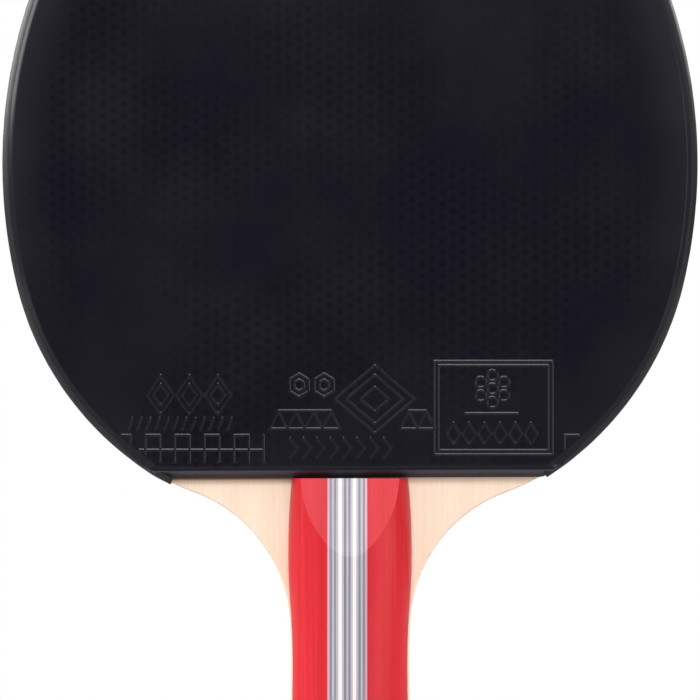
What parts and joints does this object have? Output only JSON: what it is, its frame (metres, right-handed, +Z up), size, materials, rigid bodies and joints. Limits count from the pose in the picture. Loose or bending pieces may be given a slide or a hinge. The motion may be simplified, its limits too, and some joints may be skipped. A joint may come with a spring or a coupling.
{
  "type": "table tennis paddle",
  "caption": "Shakehand table tennis paddle: a plywood blade with a smooth rubber on each face and a flared striped wooden handle.",
  "frame": {"origin": "middle of the grip: half-way along the handle, on the blade's mid-plane", "axes": "+Z up the handle towards the crown of the head, +X to the right, -Y out of the front face, which has the black rubber"},
  "size_m": [0.1508, 0.0246, 0.257],
  "materials": {
    "core_wood": "raw light core veneer, edge grain",
    "cross_wood": "raw cross veneer, a shade darker",
    "face_wood": "pale face veneer, fine sanded, unvarnished",
    "red_wood": "red dyed laminated wood, fine upright grain, satin",
    "light_grey_veneer": "light grey dyed veneer, satin",
    "dark_grey_veneer": "dark grey dyed veneer, satin",
    "white_veneer": "bleached white veneer, satin",
    "sponge": "dark cellular rubber sponge",
    "black_rubber": "smooth pimples-in black rubber, soft sheen",
    "red_rubber": "smooth pimples-in red rubber, soft sheen",
    "edge_tape": "black cloth edge tape"
  },
  "bodies": {
    "root": {"core_ply": "core_wood", "front_cross_ply": "cross_wood", "front_face_ply": "face_wood", "back_cross_ply": "cross_wood", "back_face_ply": "face_wood", "front_sponge": "sponge", "front_top_sheet": "black_rubber", "back_sponge": "sponge", "back_top_sheet": "red_rubber", "edge_tape": "edge_tape", "front_left_block": "red_wood", "front_right_block": "red_wood", "front_veneer_01": "light_grey_veneer", "front_veneer_02": "dark_grey_veneer", "front_veneer_03": "light_grey_veneer", "front_veneer_04": "dark_grey_veneer", "front_veneer_05": "light_grey_veneer", "front_veneer_06": "white_veneer", "front_veneer_07": "light_grey_veneer", "front_veneer_08": "dark_grey_veneer", "front_veneer_09": "light_grey_veneer", "front_veneer_10": "dark_grey_veneer", "front_veneer_11": "light_grey_veneer", "front_veneer_12": "white_veneer", "front_veneer_13": "light_grey_veneer", "front_veneer_14": "dark_grey_veneer", "front_veneer_15": "light_grey_veneer", "front_veneer_16": "dark_grey_veneer", "front_veneer_17": "light_grey_veneer", "back_left_block": "red_wood", "back_right_block": "red_wood", "back_veneer_01": "light_grey_veneer", "back_veneer_02": "dark_grey_veneer", "back_veneer_03": "light_grey_veneer", "back_veneer_04": "dark_grey_veneer", "back_veneer_05": "light_grey_veneer", "back_veneer_06": "white_veneer", "back_veneer_07": "light_grey_veneer", "back_veneer_08": "dark_grey_veneer", "back_veneer_09": "light_grey_veneer", "back_veneer_10": "dark_grey_veneer", "back_veneer_11": "light_grey_veneer", "back_veneer_12": "white_veneer", "back_veneer_13": "light_grey_veneer", "back_veneer_14": "dark_grey_veneer", "back_veneer_15": "light_grey_veneer", "back_veneer_16": "dark_grey_veneer", "back_veneer_17": "light_grey_veneer"}
  },
  "joints": []
}
